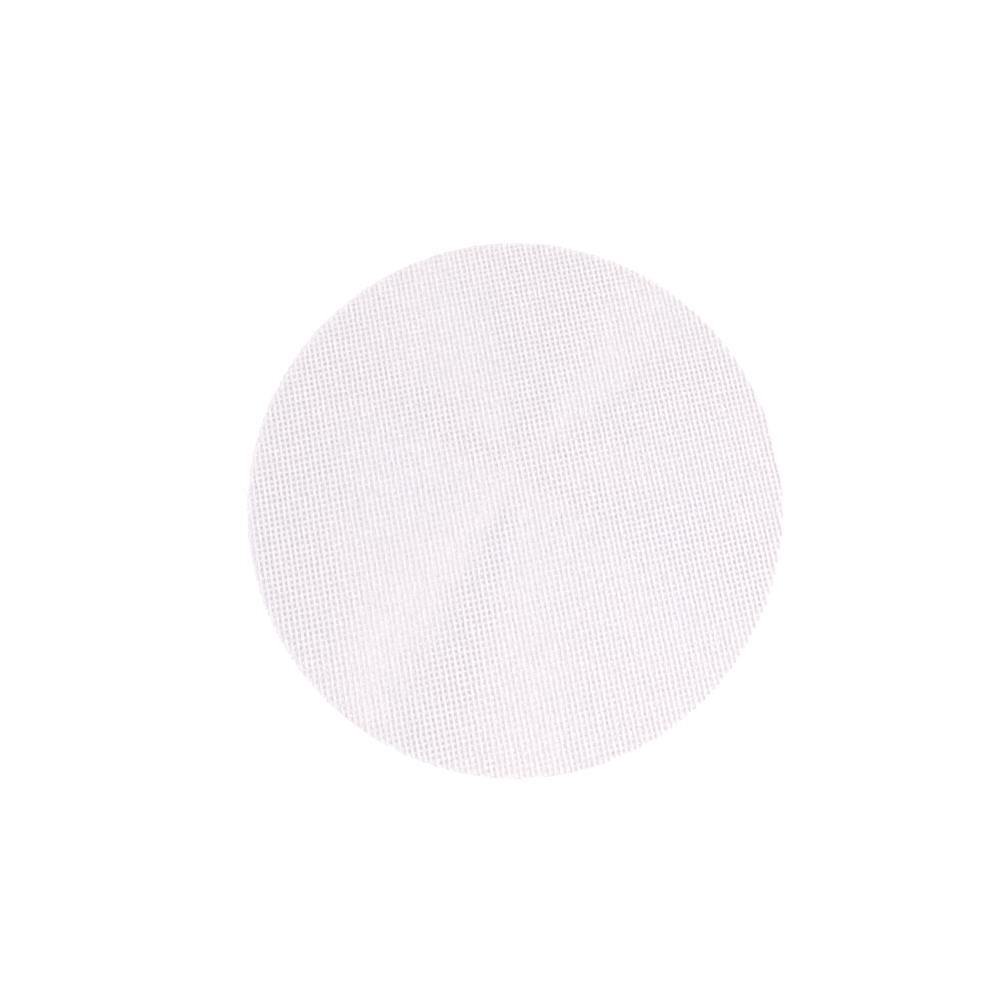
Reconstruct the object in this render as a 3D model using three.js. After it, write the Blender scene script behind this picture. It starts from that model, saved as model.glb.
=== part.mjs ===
// Round silicone-coated mesh mat for a steamer basket: an open leno weave cut to a disc.
//
// Two families of coated cords make the mesh. Each weft pick is gripped between two warp ends: a ground
// end that runs under every pick and a crossing end that runs over every pick. The silicone coat bonds
// them where they meet, so ends and picks touch face to face, and the rim has no hem.
//
// A real mat has about a hundred warp columns and ninety picks. Neighbouring cords are gathered side by
// side into one strand here. A strand is as wide as all its cords together, so the mesh keeps the real
// share of open area. Millimetres, +Z up, +Y along the warp, origin at the centre of the underside.

import * as THREE from "three";

// Driving dimensions
const MAT_DIAMETER = 280;
const WARP_STRAND_WIDTH = 7.3; // about five warp cords of 1.4 mm side by side
const WEFT_STRAND_WIDTH = 7.5; // about five picks of 1.4 mm side by side
const RIM_MARGIN = 3.75; // from the outermost strand's edge to the rim
const GROUND_END_THICKNESS = 0.35;
const PICK_THICKNESS = 0.4;
const CROSSING_END_THICKNESS = 0.35;
const COAT_CHAMFER = 0.08; // the coat rounds each strand's long edges and cut ends by about this much

// Counts, odd so that a strand of each family passes through the centre
const WARP_STRANDS = 19;
const WEFT_STRANDS = 17;
const RIM_FACETS = 6; // on a strand's cut end, which follows the rim

const MAT_RADIUS = MAT_DIAMETER / 2;

// Layers from the underside up: ground ends, picks, crossing ends
const PICK_LEVEL = GROUND_END_THICKNESS;
const CROSSING_LEVEL = PICK_LEVEL + PICK_THICKNESS;

// Finishes: one white silicone coat, a little greyer on the picks, which lie in the shade of the warp
const warpCoat = new THREE.MeshStandardMaterial({ color: 0xfaf4f8, roughness: 0.45, metalness: 0 });
const pickCoat = new THREE.MeshStandardMaterial({ color: 0xf0ebef, roughness: 0.5, metalness: 0 });

// Offsets across the mat of one family's strands, spread evenly between the rim margins
function strandOffsets(strands, width) {
  const outermost = MAT_RADIUS - RIM_MARGIN - width / 2;
  const pitch = (2 * outermost) / (strands - 1);
  return Array.from({ length: strands }, (_, i) => i * pitch - outermost);
}

// Outline of a strand along Y at an offset across the mat: two straight edges and two ends on the rim
function strandOutline(offset, width) {
  const rightAngle = Math.acos((offset + width / 2) / MAT_RADIUS);
  const leftAngle = Math.acos((offset - width / 2) / MAT_RADIUS);
  const outline = new THREE.Shape();
  outline.absarc(0, 0, MAT_RADIUS, rightAngle, leftAngle, false);
  outline.absarc(0, 0, MAT_RADIUS, -leftAngle, -rightAngle, false);
  outline.closePath();
  return outline;
}

// A flat strand of that outline, from z = 0 up, with its edges chamfered inside its size
function strandGeometry(offset, width, thickness) {
  const geometry = new THREE.ExtrudeGeometry(strandOutline(offset, width), {
    depth: thickness - 2 * COAT_CHAMFER,
    curveSegments: RIM_FACETS / 2,
    bevelEnabled: true,
    bevelSegments: 1,
    bevelThickness: COAT_CHAMFER,
    bevelSize: COAT_CHAMFER,
    bevelOffset: -COAT_CHAMFER,
  });
  return geometry.translate(0, 0, COAT_CHAMFER);
}

// One layer of parallel strands, each its own named mesh
function strandLayer(name, strands, width, thickness, level, coat) {
  const layer = new THREE.Group();
  layer.position.z = level;
  strandOffsets(strands, width).forEach((offset, i) => {
    const strand = new THREE.Mesh(strandGeometry(offset, width, thickness), coat.clone());
    strand.name = `${name}_${String(i + 1).padStart(2, "0")}`;
    layer.add(strand);
  });
  return layer;
}

function warpLayer(name, thickness, level) {
  return strandLayer(name, WARP_STRANDS, WARP_STRAND_WIDTH, thickness, level, warpCoat);
}

const groundEnds = warpLayer("ground_warp", GROUND_END_THICKNESS, 0);
const crossingEnds = warpLayer("crossing_warp", CROSSING_END_THICKNESS, CROSSING_LEVEL);
const picks = strandLayer("weft", WEFT_STRANDS, WEFT_STRAND_WIDTH, PICK_THICKNESS, PICK_LEVEL, pickCoat);

// A quarter turn lays the picks along X
picks.rotation.z = Math.PI / 2;

const steamerMat = new THREE.Group();
steamerMat.add(groundEnds, picks, crossingEnds);

export default steamerMat;
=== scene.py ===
import math

import bpy
import numpy as np
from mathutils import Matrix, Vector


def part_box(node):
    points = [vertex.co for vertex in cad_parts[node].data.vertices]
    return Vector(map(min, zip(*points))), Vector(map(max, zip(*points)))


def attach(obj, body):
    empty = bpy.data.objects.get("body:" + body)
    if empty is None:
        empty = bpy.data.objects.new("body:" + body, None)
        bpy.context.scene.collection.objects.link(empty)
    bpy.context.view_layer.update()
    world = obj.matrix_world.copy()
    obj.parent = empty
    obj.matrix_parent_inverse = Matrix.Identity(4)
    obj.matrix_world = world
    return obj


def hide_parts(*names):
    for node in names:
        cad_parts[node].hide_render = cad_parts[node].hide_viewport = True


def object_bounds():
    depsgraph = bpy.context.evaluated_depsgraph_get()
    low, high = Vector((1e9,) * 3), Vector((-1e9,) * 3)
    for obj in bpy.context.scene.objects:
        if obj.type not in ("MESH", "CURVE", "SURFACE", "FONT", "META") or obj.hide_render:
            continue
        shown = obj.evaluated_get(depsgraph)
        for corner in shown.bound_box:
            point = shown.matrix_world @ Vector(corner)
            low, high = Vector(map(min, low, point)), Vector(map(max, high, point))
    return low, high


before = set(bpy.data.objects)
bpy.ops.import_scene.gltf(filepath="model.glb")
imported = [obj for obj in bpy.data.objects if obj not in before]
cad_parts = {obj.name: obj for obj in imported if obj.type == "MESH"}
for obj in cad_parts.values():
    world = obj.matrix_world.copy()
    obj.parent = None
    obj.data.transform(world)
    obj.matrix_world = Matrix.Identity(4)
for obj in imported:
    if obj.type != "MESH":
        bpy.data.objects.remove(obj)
CAD_LOW, CAD_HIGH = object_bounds()

bl_info = {
    "name": "Steamer Mat",
    "version": (1, 0, 0),
    "blender": (4, 5, 0),
    "location": "View3D > Sidebar > Steamer Mat",
    "description": "Dresses the frame of a round mesh steamer mat with its single silicone-coated cords",
    "category": "Object",
}

MM = 0.001

# Points round a cord, and rings along it from one crossing to the next
SECTION_SIDES = 8
CROSSING_RINGS = 4

# How round a cord's section is: an oval at 1, a box at 0
SECTION_POWER = 0.6

# A ring closer to a cord's end than this share of the space between two rings is left out
END_CLEARANCE = 0.3

# Cords are counted from the middle of the mat, and none with this number is still on it
PAST_RIM = 56

# Seeds of the random draws for the two families of cords
WARP_SEED = 7
WEFT_SEED = 11

# Wavelengths in mm of the slow and of the quicker drift of a cord, from the shortest to the longest
SLOW_DRIFT = (60, 130)
QUICK_DRIFT = (14, 40)

# Even draws between plus and minus this have a standard deviation of about 1
UNIT_SPREAD = 1.7

# Patterns of the coat: clouds of its thickness, drifts of its tint, dull patches, and ribs of the yarn under it. Real
# yarn turns about twice as often, too fine to show
CLOUD_SIZE = 2.2 * MM
TINT_SIZE = 60 * MM
PATCH_SIZE = 1.5 * MM
RIB_SPACING = 0.7 * MM

# How much of the coat's colour is its drifting tint
TINT_SHARE = 0.35

# How far the pattern of the ribs is turned about Z on each family of cords
WARP_YARN_TURN = math.radians(35)
WEFT_YARN_TURN = math.radians(125)

# Blender's wave texture turns through this many radians in one unit at scale 1
WAVE_TURN = 20

# Pixels of the square picture, and where the mat's centre and rim lie in it
PICTURE_SIDE = 1000
MAT_CENTRE_PX = (515.5, 511.0)
MAT_RADIUS_PX = 268.2

# The camera looks straight down, turned so that the columns lean in the picture. Lens and sensor are in mm
CAMERA_TURN = math.radians(-11.6)
CAMERA_LENS = 85.0
SENSOR_WIDTH = 36

# The key softbox: its place from the mat's centre in metres, to the picture's right, to its top and up off the floor,
# then its side in metres and its power in watts
KEY_PLACE = (0.9, -0.35, 0.8)
KEY_SIDE = 0.9
KEY_POWER = 4.5

# The floor's half side in metres, its own glow, which keeps it white, and the strength of the white sky
FLOOR_HALF = 3.0
FLOOR_GLOW = 0.134
SKY_STRENGTH = 1.04


def linear(hex_code):
    """An sRGB hex colour as linear RGBA."""
    srgb = np.array([int(hex_code[i : i + 2], 16) for i in (1, 3, 5)]) / 255
    rgb = np.where(srgb <= 0.04045, srgb / 12.92, ((srgb + 0.055) / 1.055) ** 2.4)
    return (*rgb.tolist(), 1.0)


def length(name, description, millimetres):
    """A length property, kept in metres."""
    return bpy.props.FloatProperty(
        name=name, description=description, default=millimetres * MM, unit="LENGTH", precision=5
    )


def colour(name, description, hex_code):
    """A colour property, kept linear."""
    return bpy.props.FloatVectorProperty(
        name=name, description=description, default=linear(hex_code), size=4, min=0, max=1, subtype="COLOR"
    )


class MatSizes(bpy.types.PropertyGroup):
    """Sizes of the mesh. The rim and the middle level come from the frame."""

    rim_radius: length("Rim radius", "Half the mat's diameter", CAD_HIGH.x / MM)
    middle: length("Middle level", "Height of the picks' centre line", (CAD_LOW.z + CAD_HIGH.z) / 2 / MM)
    columns: bpy.props.IntProperty(name="Columns", description="Warp columns across the mat", default=99)
    picks: bpy.props.IntProperty(name="Picks", description="Weft picks across the mat", default=91)
    end_waist: length("End waist", "Half a warp end's width between two picks", 0.71)
    end_swell: length("End swell", "How much wider it gets, each way, where the coat pools on a pick", 0.26)
    end_sway: length("End sway", "The furthest that the two ends of a column swing aside between picks", 0.25)
    end_rise: length("End rise", "Height of a warp end's centre line over the picks' where it sits on one", 0.32)
    end_dip: length("End dip", "How much lower it runs between two picks", 0.12)
    end_height: length("End height", "Half a warp end's thickness", 0.22)
    pick_waist: length("Pick waist", "Half a pick's width between two columns", 0.78)
    pick_swell: length("Pick swell", "How much wider it gets, each way, at a column", 0.22)
    pick_height: length("Pick height", "Half a pick's thickness", 0.25)
    wander: length("Wander", "How far a cord strays from its straight line", 0.06)
    unevenness: bpy.props.FloatProperty(
        name="Unevenness", description="Spread of a cord's width from place to place, as a share", default=0.1
    )


class MatCreases(bpy.types.PropertyGroup):
    """Soft creases that the mat keeps from being folded. They run out from one point near its centre."""

    hub_x: length("Hub X", "Where the creases meet", 6.9)
    hub_y: length("Hub Y", "Where the creases meet", 19.4)
    height: length("Height", "Height from the deepest groove to the tallest ridge", 0.9)
    softness: length("Softness", "Least half width of a crease, at the hub", 2.5)
    side_height: length("Side height", "How far one side of the mat stands off the tray", 0.65)
    side_heading: bpy.props.FloatProperty(
        name="Side heading", description="Which side that is, from +X", default=math.radians(168), subtype="ANGLE"
    )
    side_start: bpy.props.FloatProperty(
        name="Side start", description="Where it leaves the tray, as a share of the rim's radius", default=0.5
    )
    side_width: bpy.props.FloatProperty(
        name="Side width", description="How far it takes to come up, as a share of the rim's radius", default=0.4
    )


class MatColours(bpy.types.PropertyGroup):
    """Colours of the coat and of the stage."""

    warp_coat: colour("Warp coat", "White silicone where the coat on the warp is thick", "#FBF3F9")
    warp_thin: colour("Thin warp coat", "Silicone where the yarn of the warp greys it", "#ECE4EA")
    # The weft's two coat colours hold painted shade: they are a little darker than the warp's, for the picks lying
    # lower than the warp ends, though both are the same silicone
    weft_coat_painted_shade: colour("Weft coat", "White silicone where the coat on the weft is thick", "#F6EEF4")
    weft_thin_painted_shade: colour("Thin weft coat", "Silicone where the yarn of the weft greys it", "#E4DDE3")
    blush: colour("Blush", "The warm side of the coat's faint tint", "#F4E8EE")
    cool: colour("Cool", "The cool side of the coat's faint tint", "#EDEAF3")
    floor: colour("Floor", "Pale studio floor", "#FBF7FA")


def sizes():
    return bpy.context.scene.steamer_mat_sizes


def pitches():
    """Mean distances from column to column and from pick to pick."""
    size = sizes()
    return 2 * size.rim_radius / size.columns, 2 * size.rim_radius / size.picks


def colours():
    return bpy.context.scene.steamer_mat_colours


# Each crease: its direction from the hub in degrees from +X, its share of the full height, below zero for a groove, and
# its spread in degrees
CREASES = (
    (15, 0.35, 6.5),
    (39, -0.24, 6.5),
    (62, 0.42, 4.5),
    (80, 0.2, 4.5),
    (102, -0.15, 6.5),
    (138, 0.35, 4.5),
    (153, -0.1, 4),
    (180, -0.1, 12),
    (219, -0.32, 7),
    (239, 0.42, 4.5),
    (262, -0.22, 6.5),
    (300, -0.12, 9),
    (327, 0.3, 5.5),
)

# Between the creases the sheet stands at this share of the full height, so the deepest groove nearly rests on the tray
BETWEEN_CREASES = 0.37

# A crease has most of its height at a distance from the hub of the rim's radius divided by this
CREASE_GROWTH = 20

# The cloth was pulled askew before the mat was cut from it. Each row: a power of across and of along, which are both
# near 1 at the rim, and how far their product moves the mesh in X and in Y, in mm
PULL = (
    (0, 0, 1.35, -0.14),
    (1, 0, 1.07, 2.13),
    (0, 1, 2.12, -0.04),
    (2, 0, -3.53, -0.38),
    (1, 1, -6.92, -3.48),
    (0, 2, -0.47, -6.83),
    (3, 0, -1.69, -0.68),
    (2, 1, 0.39, -2.35),
    (1, 2, -0.3, 0.4),
    (0, 3, -0.16, -2.46),
)


def lift(x, y):
    """How high the sheet stands off a flat tray at (x, y).

    A crease has a bell-shaped profile across its direction, whose width is its spread plus a little that keeps it soft
    at the hub. It grows away from the hub as 1 - exp(-CREASE_GROWTH * out), with out the distance from the hub in rim
    radii. The side that stands off the tray comes up in one smooth step.
    """
    crease = bpy.context.scene.steamer_mat_creases
    radius = sizes().rim_radius
    out = np.hypot(x - crease.hub_x, y - crease.hub_y) / radius
    heading = np.arctan2(y - crease.hub_y, x - crease.hub_x)
    height = np.full_like(out, BETWEEN_CREASES)
    for direction, share, spread in CREASES:
        turn = heading - math.radians(direction)
        width = out * math.sin(math.radians(spread)) + crease.softness / radius
        profile = np.exp(-((out * np.sin(turn) / width) ** 2) / 2)
        height += share * (1 - np.exp(-CREASE_GROWTH * out)) * np.where(np.cos(turn) > 0, profile, 0)
    past = (x * math.cos(crease.side_heading) + y * math.sin(crease.side_heading)) / radius - crease.side_start
    step = np.clip(past / crease.side_width, 0, 1)
    return crease.height * np.maximum(height, 0) + crease.side_height * step**2 * (3 - 2 * step)


def stray(rng, run):
    """A small sideways drift along a cord: a slow and a quicker sine wave of seeded length and phase."""
    waves = np.array([rng.uniform(*SLOW_DRIFT), rng.uniform(*QUICK_DRIFT)]) * MM
    phases = rng.uniform(0, 2 * math.pi, 2)
    return sizes().wander * np.sin(2 * math.pi * run[:, None] / waves + phases).sum(1)


def coat_width(rng, crossing):
    """How much wider or narrower the coat makes a cord than its mean: a seeded number near 1 at each crossing and
    halfway between two, with straight lines from one to the next."""
    knots = np.arange(math.floor(2 * crossing[0]), math.ceil(2 * crossing[-1]) + 1)
    widths = 1 + sizes().unevenness * rng.uniform(-UNIT_SPREAD, UNIT_SPREAD, len(knots))
    return np.interp(2 * crossing, knots, widths)


def sway(rng, crossing):
    """How far a warp end swings aside, as a share of the most: nothing on a pick and a seeded amount halfway to the
    next, with straight lines from one to the other."""
    knots = np.arange(math.floor(2 * crossing[0]), math.ceil(2 * crossing[-1]) + 1)
    return np.interp(2 * crossing, knots, knots % 2 * rng.uniform(-1, 1, len(knots)))


def mesh_place(number, crossing, axis):
    """Where a cord meets the cords it crosses, all counted from the middle: columns have axis 0 and picks axis 1.

    An even mesh would have the place at (across, along) times the rim's radius, with across = 2 * column / columns and
    along = 2 * pick / picks. The pull adds a cubic polynomial of the two.
    """
    size = sizes()
    number = np.full_like(crossing, number)
    column, pick = (number, crossing) if axis == 0 else (crossing, number)
    across, along = 2 * column / size.columns, 2 * pick / size.picks
    place = size.rim_radius * np.stack([across, along], 1)
    for across_power, along_power, x_shift, y_shift in PULL:
        term = across**across_power * along**along_power
        place += term[:, None] * np.array([x_shift, y_shift]) * MM
    return place


def across_of(line, crossing):
    """Unit directions across a line, to the right of the way it runs."""
    way = np.gradient(line, crossing, axis=0)
    way /= np.linalg.norm(way, axis=1, keepdims=True)
    return np.stack([way[:, 1], -way[:, 0]], 1)


def cord_line(number, axis, half_width):
    """The stretch of one cord that is on the mat: where its rings stand, as crossing numbers, places and directions
    across it, and the pitch of its family there. None for a cord that misses the mat or only touches it.

    There are a fixed number of rings from one crossing to the next, and one at each end, where the cord's edge nearer
    to the middle of the mat meets the rim.
    """
    crossing = np.arange(-PAST_RIM * CROSSING_RINGS, PAST_RIM * CROSSING_RINGS + 1) / CROSSING_RINGS
    line = mesh_place(number, crossing, axis)
    across = across_of(line, crossing)
    outward = np.sign((line * across).sum(1, keepdims=True))
    inside = sizes().rim_radius - np.linalg.norm(line - half_width * outward * across, axis=1)
    if inside.max() < half_width / 2:
        return None
    first, last = np.flatnonzero(inside > 0)[[0, -1]]
    start = np.interp(0, inside[[first - 1, first]], crossing[[first - 1, first]])
    end = np.interp(0, inside[[last + 1, last]], crossing[[last + 1, last]])
    clear = END_CLEARANCE / CROSSING_RINGS
    between = crossing[(crossing > start + clear) & (crossing < end - clear)]
    crossing = np.concatenate([[start], between, [end]])
    line = mesh_place(number, crossing, axis)
    across = across_of(line, crossing)
    neighbours = mesh_place(number + 1, crossing, axis) - mesh_place(number - 1, crossing, axis)
    return crossing, line, across, np.abs((neighbours * across).sum(1)) / 2


def cord_surface(line, across, aside, level, half_width, half_height):
    """A coated cord as a grid of rings along its line: a flattened oval carried along it.

    Point (i, a) is aside + half_width * flat(cos(a)) across and level + half_height * flat(sin(a)) up, where flat keeps
    the sign and takes SECTION_POWER, so that the oval's top and sides are nearly flat. The rim cuts the cord: points
    past it are brought in to it, and the first and last ring lie on it.
    """
    angle = 2 * math.pi * (np.arange(SECTION_SIDES) + 0.5) / SECTION_SIDES
    oval = np.stack([np.cos(angle), np.sin(angle)])
    flat_across, flat_up = np.sign(oval) * np.abs(oval) ** SECTION_POWER
    offset = aside[:, None] + half_width[:, None] * flat_across
    x = line[:, :1] + offset * across[:, :1]
    y = line[:, 1:] + offset * across[:, 1:]
    to_rim = sizes().rim_radius / np.hypot(x, y)
    to_rim[1:-1] = np.minimum(to_rim[1:-1], 1)
    return x * to_rim, y * to_rim, level[:, None] + half_height * flat_up


def tube_faces(rings, sides, first):
    """Quads between neighbouring rings of a closed tube, turned so that they face outwards, and its two end caps."""
    ring, side = np.meshgrid(np.arange(rings - 1), np.arange(sides), indexing="ij")
    near = first + ring * sides + side
    near_next = first + ring * sides + (side + 1) % sides
    quads = np.stack([near, near + sides, near_next + sides, near_next], -1).reshape(-1, 4)
    low_cap = first + np.arange(sides)
    high_cap = first + (rings - 1) * sides + np.arange(sides)[::-1]
    return quads, low_cap, high_cap


def build_piece(name, cords, node, material):
    """One object from the grids of several cords. It stands for a node of the frame and rides on the frame's body."""
    points, quads, caps, first = [], [], [], 0
    for x, y, z in cords:
        rings, sides = x.shape
        points.append(np.stack([x, y, z + lift(x, y)], -1).reshape(-1, 3))
        cord_quads, low_cap, high_cap = tube_faces(rings, sides, first)
        quads.append(cord_quads)
        caps += [low_cap, high_cap]
        first += rings * sides
    faces = np.concatenate(quads).tolist() + [cap.tolist() for cap in caps]
    mesh = bpy.data.meshes.new(name)
    mesh.from_pydata(np.concatenate(points), [], faces, shade_flat=False)
    mesh.materials.append(material)
    piece = bpy.data.objects.new(name, mesh)
    bpy.context.scene.collection.objects.link(piece)
    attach(piece, "root")
    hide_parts(node)


def cords_by_strand(prefix, axis, half_width):
    """The lines of all the cords of one family, gathered by the strand of the frame that is nearest to each."""
    names = sorted(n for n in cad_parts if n.startswith(prefix))
    boxes = [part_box(n) for n in names]
    centres = np.array([(low[axis] + high[axis]) / 2 for low, high in boxes])
    gathered = {n: [] for n in names}
    for number in range(-PAST_RIM, PAST_RIM + 1):
        cord = cord_line(number, axis, half_width)
        if cord is not None:
            middle = cord[1][:, axis].mean()
            gathered[names[np.abs(centres - middle).argmin()]].append(cord)
    return gathered


def add_node(tree, kind, inputs, **settings):
    """Adds a node with its settings, and sets or links its input sockets."""
    node = tree.nodes.new(kind)
    for name, value in settings.items():
        setattr(node, name, value)
    for socket, value in inputs.items():
        if isinstance(value, bpy.types.NodeSocket):
            tree.links.new(value, node.inputs[socket])
        else:
            node.inputs[socket].default_value = value
    return node


def silicone_coat(name, thick_colour, thin_colour, yarn_turn):
    """Platinum-cured white silicone rubber, knife-coated over a yarn mesh.

    It gives a satin white with a faint lilac tint, cloudy where the coat is thicker or thinner, and the twist of the
    yarn shows through as a soft slant rib.
    """
    if name in bpy.data.materials:
        return bpy.data.materials[name]
    paint = colours()
    material = bpy.data.materials.new(name)
    material.use_nodes = True
    tree = material.node_tree
    tree.nodes.clear()
    place = add_node(tree, "ShaderNodeTexCoord", {}).outputs["Object"]

    # Clouds of coat thickness
    clouds = add_node(
        tree, "ShaderNodeTexNoise", {"Vector": place, "Scale": 1 / CLOUD_SIZE, "Detail": 2.0, "Roughness": 0.8}
    )
    thick = add_node(
        tree, "ShaderNodeMapRange", {"Value": clouds.outputs["Fac"], "From Min": 0.3, "From Max": 0.7}
    )

    # A tint that drifts between blush and cool
    drift = add_node(tree, "ShaderNodeTexNoise", {"Vector": place, "Scale": 1 / TINT_SIZE, "Detail": 1.0})
    tint = add_node(
        tree, "ShaderNodeMapRange", {"Value": drift.outputs["Fac"], "From Min": 0.35, "From Max": 0.65}
    )
    tinted = add_node(
        tree,
        "ShaderNodeMix",
        {0: tint.outputs["Result"], 6: tuple(paint.blush), 7: tuple(paint.cool)},
        data_type="RGBA",
    )
    coat = add_node(
        tree,
        "ShaderNodeMix",
        {0: thick.outputs["Result"], 6: tuple(thin_colour), 7: tuple(thick_colour)},
        data_type="RGBA",
    )
    base = add_node(
        tree, "ShaderNodeMix", {0: TINT_SHARE, 6: coat.outputs[2], 7: tinted.outputs[2]}, data_type="RGBA"
    )

    # Satin with duller patches
    patches = add_node(tree, "ShaderNodeTexNoise", {"Vector": place, "Scale": 1 / PATCH_SIZE, "Detail": 2.0})
    dull = add_node(
        tree,
        "ShaderNodeMapRange",
        {"Value": patches.outputs["Fac"], "To Min": 0.36, "To Max": 0.58},
    )

    # Yarn twist under the coat
    turned = add_node(tree, "ShaderNodeMapping", {"Vector": place, "Rotation": (0, 0, yarn_turn)})
    twist = add_node(
        tree,
        "ShaderNodeTexWave",
        {"Vector": turned.outputs["Vector"], "Scale": 2 * math.pi / (WAVE_TURN * RIB_SPACING), "Distortion": 1.0},
    )
    relief = add_node(
        tree,
        "ShaderNodeMath",
        {0: twist.outputs["Fac"], 1: patches.outputs["Fac"]},
        operation="ADD",
    )
    bump = add_node(
        tree,
        "ShaderNodeBump",
        {"Height": relief.outputs["Value"], "Strength": 0.35, "Distance": 0.06 * MM},
    )
    shader = add_node(
        tree,
        "ShaderNodeBsdfPrincipled",
        {
            "Base Color": base.outputs[2],
            "Roughness": dull.outputs["Result"],
            "Normal": bump.outputs["Normal"],
            "IOR": 1.41,
            "Subsurface Weight": 0.8,
            "Subsurface Radius": (1.0, 0.95, 1.0),
            "Subsurface Scale": 0.9 * MM,
        },
    )
    add_node(tree, "ShaderNodeOutputMaterial", {"Surface": shader.outputs["BSDF"]})
    return material


def warp_ends(prefix, piece_name, side):
    """All the warp ends that run over (side 1) or under (side -1) every pick.

    With t a full turn from pick to pick, an end runs rise - dip * (1 - cos(t)) / 2 above the picks' centre line, or as
    far below. Between picks it swings aside, the two ends of a column to opposite sides. It is
    waist + swell * ((1 + cos(t)) / 2) ** 2 wide each way, as the coat pools where it sits on a pick, and narrower or
    wider with the spacing of the columns.
    """
    size = sizes()
    rng = np.random.default_rng(WARP_SEED)
    column_pitch, pick_pitch = pitches()
    paint = colours()
    material = silicone_coat("Silicone coat on warp", paint.warp_coat, paint.warp_thin, WARP_YARN_TURN)
    gathered = cords_by_strand(prefix, 0, size.end_waist)
    for i, (node, lines) in enumerate(gathered.items()):
        cords = []
        for crossing, line, across, spacing in lines:
            turn = 2 * math.pi * crossing
            swell = size.end_swell * ((1 + np.cos(turn)) / 2) ** 2
            aside = stray(rng, crossing * pick_pitch) + side * size.end_sway * sway(rng, crossing)
            level = size.middle + side * (size.end_rise - size.end_dip * (1 - np.cos(turn)) / 2)
            half_width = (size.end_waist + swell) * coat_width(rng, crossing) * spacing / column_pitch
            cords.append(cord_surface(line, across, aside, level, half_width, size.end_height))
        build_piece(f"{piece_name}_{i + 1:02d}", cords, node, material)


class STEAMER_MAT_OT_crossing_ends(bpy.types.Operator):
    """Makes the warp ends that cross over every pick"""

    bl_idname = "steamer_mat.crossing_ends"
    bl_label = "Crossing Ends"

    def execute(self, context):
        warp_ends("crossing_warp", "crossing_ends", 1)
        return {"FINISHED"}


class STEAMER_MAT_OT_ground_ends(bpy.types.Operator):
    """Makes the warp ends that run under every pick"""

    bl_idname = "steamer_mat.ground_ends"
    bl_label = "Ground Ends"

    def execute(self, context):
        warp_ends("ground_warp", "ground_ends", -1)
        return {"FINISHED"}


class STEAMER_MAT_OT_weft_picks(bpy.types.Operator):
    """Makes the picks that run between the two warp ends of every column"""

    bl_idname = "steamer_mat.weft_picks"
    bl_label = "Weft Picks"

    def execute(self, context):
        size = sizes()
        rng = np.random.default_rng(WEFT_SEED)
        column_pitch, pick_pitch = pitches()
        paint = colours()
        # The weft's coat colours are painted darker than the warp's, as painted shade of the lower picks
        material = silicone_coat("Silicone coat on weft with painted shade", paint.weft_coat_painted_shade, paint.weft_thin_painted_shade, WEFT_YARN_TURN)
        gathered = cords_by_strand("weft", 1, size.pick_waist)
        for i, (node, lines) in enumerate(gathered.items()):
            cords = []
            for crossing, line, across, spacing in lines:
                swell = size.pick_swell * ((1 + np.cos(2 * math.pi * crossing)) / 2) ** 2
                level = np.full_like(crossing, size.middle)
                aside = stray(rng, crossing * column_pitch)
                half_width = (size.pick_waist + swell) * coat_width(rng, crossing) * spacing / pick_pitch
                cords.append(cord_surface(line, across, aside, level, half_width, size.pick_height))
            build_piece(f"weft_picks_{i + 1:02d}", cords, node, material)
        return {"FINISHED"}


def softbox(name, location, side, power):
    """A square area lamp that faces the middle of the mat."""
    lamp = bpy.data.lights.new(name, "AREA")
    lamp.size = side
    lamp.energy = power
    holder = bpy.data.objects.new(name, lamp)
    holder.location = location
    x, y, z = -location
    holder.rotation_euler = (math.atan2(math.hypot(x, y), -z), 0, math.atan2(y, x) - math.pi / 2)
    bpy.context.scene.collection.objects.link(holder)


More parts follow.
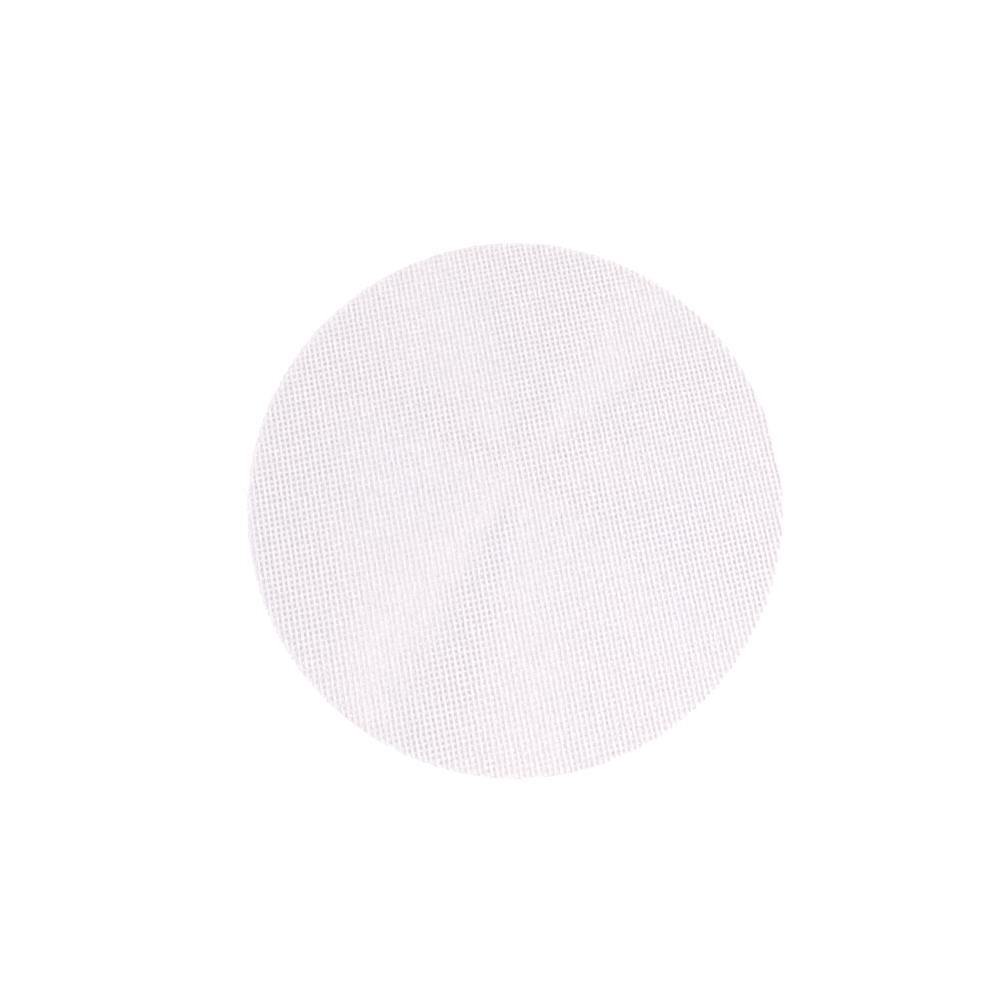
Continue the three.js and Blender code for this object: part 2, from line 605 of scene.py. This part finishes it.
class STEAMER_MAT_OT_stage(bpy.types.Operator):
    """Makes the pale floor, the soft light and the camera straight above the mat"""

    bl_idname = "steamer_mat.stage"
    bl_label = "Stage"

    def execute(self, context):
        scene = context.scene
        corners = [(-1, -1), (1, -1), (1, 1), (-1, 1)]
        mesh = bpy.data.meshes.new("floor")
        mesh.from_pydata([(FLOOR_HALF * x, FLOOR_HALF * y, 0) for x, y in corners], [], [(0, 1, 2, 3)])
        material = bpy.data.materials.new("Matt white studio sweep")
        material.use_nodes = True
        shader = material.node_tree.nodes["Principled BSDF"]
        shader.inputs["Base Color"].default_value = tuple(colours().floor)
        shader.inputs["Roughness"].default_value = 0.9
        shader.inputs["Emission Color"].default_value = (1, 1, 1, 1)
        shader.inputs["Emission Strength"].default_value = FLOOR_GLOW
        mesh.materials.append(material)
        floor = bpy.data.objects.new("floor", mesh)
        scene.collection.objects.link(floor)

        world = bpy.data.worlds.new("Soft studio")
        world.use_nodes = True
        sky = world.node_tree.nodes["Background"]
        sky.inputs["Color"].default_value = (1, 1, 1, 1)
        sky.inputs["Strength"].default_value = SKY_STRENGTH
        scene.world = world
        scene.view_settings.view_transform = "Standard"

        right = np.array([math.cos(CAMERA_TURN), math.sin(CAMERA_TURN), 0])
        ahead = np.array([-math.sin(CAMERA_TURN), math.cos(CAMERA_TURN), 0])
        up = np.array([0, 0, 1])
        softbox("key", np.dot(KEY_PLACE, [right, ahead, up]), KEY_SIDE, KEY_POWER)

        metres_per_px = sizes().rim_radius / MAT_RADIUS_PX
        height = PICTURE_SIDE * metres_per_px * CAMERA_LENS / SENSOR_WIDTH
        camera = bpy.data.cameras.new("camera")
        camera.lens = CAMERA_LENS
        holder = bpy.data.objects.new("camera", camera)
        offset = (PICTURE_SIDE / 2 - np.array(MAT_CENTRE_PX)) * metres_per_px
        holder.location = right * offset[0] - ahead * offset[1] + up * (height + CAD_HIGH.z)
        holder.rotation_euler = (0, 0, CAMERA_TURN)
        scene.collection.objects.link(holder)
        scene.camera = holder
        return {"FINISHED"}


class STEAMER_MAT_PT_panel(bpy.types.Panel):
    """Lists the mat's sizes, colours and pieces"""

    bl_idname = "STEAMER_MAT_PT_panel"
    bl_label = "Steamer Mat"
    bl_space_type = "VIEW_3D"
    bl_region_type = "UI"
    bl_category = "Steamer Mat"

    def draw(self, context):
        for group in (
            context.scene.steamer_mat_sizes,
            context.scene.steamer_mat_creases,
            context.scene.steamer_mat_colours,
        ):
            column = self.layout.column(align=True)
            for name in group.__annotations__:
                column.prop(group, name)
        for operator in OPERATORS:
            self.layout.operator(operator.bl_idname)


GROUPS = {"steamer_mat_sizes": MatSizes, "steamer_mat_creases": MatCreases, "steamer_mat_colours": MatColours}
OPERATORS = (
    STEAMER_MAT_OT_crossing_ends,
    STEAMER_MAT_OT_ground_ends,
    STEAMER_MAT_OT_weft_picks,
    STEAMER_MAT_OT_stage,
)
CLASSES = (*GROUPS.values(), *OPERATORS, STEAMER_MAT_PT_panel)


def register():
    for cls in CLASSES:
        bpy.utils.register_class(cls)
    for name, group in GROUPS.items():
        setattr(bpy.types.Scene, name, bpy.props.PointerProperty(type=group))


def unregister():
    for name in GROUPS:
        delattr(bpy.types.Scene, name)
    for cls in reversed(CLASSES):
        bpy.utils.unregister_class(cls)


def main():
    register()
    bpy.ops.steamer_mat.crossing_ends()
    bpy.ops.steamer_mat.ground_ends()
    bpy.ops.steamer_mat.weft_picks()
    bpy.ops.steamer_mat.stage()


if __name__ == "__main__":
    main()
